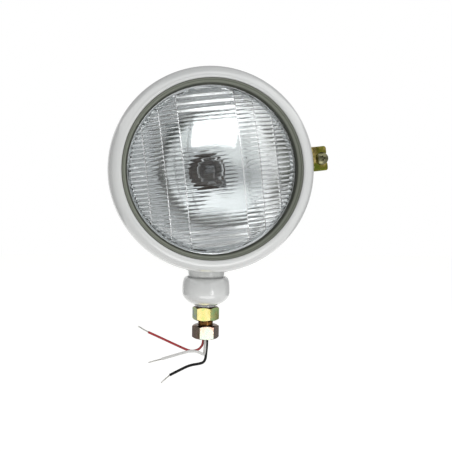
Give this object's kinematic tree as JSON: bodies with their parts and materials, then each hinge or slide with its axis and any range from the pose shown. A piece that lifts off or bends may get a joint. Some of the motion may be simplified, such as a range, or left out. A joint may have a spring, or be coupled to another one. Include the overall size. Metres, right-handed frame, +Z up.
{
  "type": "tractor headlight",
  "caption": "Round swivel-mounted work headlight with a fluted domed lens, hinged rim, bowl and hollow threaded stud for its leads.",
  "frame": {"origin": "on the axis of the hollow stud, at the underside of the swivel nut, where a bracket bears", "axes": "+Z up along the stud, the lamp shines along -Y, +X to the viewer's right of the lamp"},
  "size_m": [0.1735, 0.095, 0.2508],
  "materials": {
    "grey_paint": "gloss",
    "yellow_zinc": "yellow-passivated zinc",
    "rubber": "matte",
    "lens_glass": "clear pressed",
    "bulb_glass": "clear blown",
    "reflector_metal": "mirror, aluminised",
    "plated_steel": "zinc plated",
    "tungsten": "drawn wire",
    "brass": "satin",
    "fibre": "pressed fibre",
    "red_pvc": "extruded",
    "white_pvc": "extruded",
    "black_pvc": "extruded",
    "copper_strand": "twisted strands"
  },
  "bodies": {
    "stud": {"hollow_stud": "yellow_zinc", "ball_washer": "yellow_zinc", "stud_leads": "black_pvc", "red_lead": "red_pvc", "white_lead": "white_pvc", "black_lead": "black_pvc", "lead_cores": "copper_strand"},
    "swivel_nut": {"swivel_nut": "yellow_zinc"},
    "mounting_nut": {"mounting_nut": "yellow_zinc"},
    "swivel_cup": {"swivel_cup": "grey_paint"},
    "seat_ring": {"seat_ring": "fibre"},
    "head": {"bowl": "grey_paint", "bowl_lug": "grey_paint", "lug_rivets": "grey_paint", "captive_nut": "yellow_zinc", "head_leads": "red_pvc"},
    "light_unit": {"rim": "grey_paint", "rim_tab": "yellow_zinc", "tab_rivets": "yellow_zinc", "gasket": "rubber", "lens": "lens_glass", "reflector": "reflector_metal", "retaining_clips": "yellow_zinc", "bulb_glass": "bulb_glass", "filament": "tungsten", "bulb_cap": "brass", "bulb_holder": "plated_steel", "contact_disc": "fibre", "contacts": "brass", "terminal_tags": "brass"},
    "clamp_screw": {"clamp_screw": "yellow_zinc", "screw_collar": "yellow_zinc"}
  },
  "joints": [
    {"name": "swivel_nut_turn", "type": "hinge", "parent": "stud", "child": "swivel_nut", "pos_m": [0, 0, 0.0054], "axis": [0, 0, 1], "continuous": true},
    {"name": "mounting_nut_travel", "type": "slide", "parent": "stud", "child": "mounting_nut", "axis": [0, 0, -1], "range_m": [0, 0.006]},
    {"name": "head_yaw", "type": "hinge", "parent": "stud", "child": "swivel_cup", "pos_m": [0, 0, 0.0392], "axis": [0, 0, 1], "range_deg": [-170, 170]},
    {"name": "head_pitch", "type": "hinge", "parent": "swivel_cup", "child": "seat_ring", "pos_m": [0, 0, 0.0392], "axis": [1, 0, 0], "range_deg": [-12, 12]},
    {"name": "head_lean", "type": "hinge", "parent": "seat_ring", "child": "head", "pos_m": [0, 0, 0.0392], "axis": [0, 1, 0], "range_deg": [-12, 12]},
    {"name": "rim_swing", "type": "hinge", "parent": "head", "child": "light_unit", "pos_m": [-0.07424, -0.0216, 0.11098], "axis": [0.1219, 0, -0.9925], "range_deg": [0, 40]},
    {"name": "clamp_screw_turn", "type": "hinge", "parent": "light_unit", "child": "clamp_screw", "pos_m": [0.08854, -0.02, 0.13097], "axis": [0, 1, 0], "continuous": true}
  ]
}
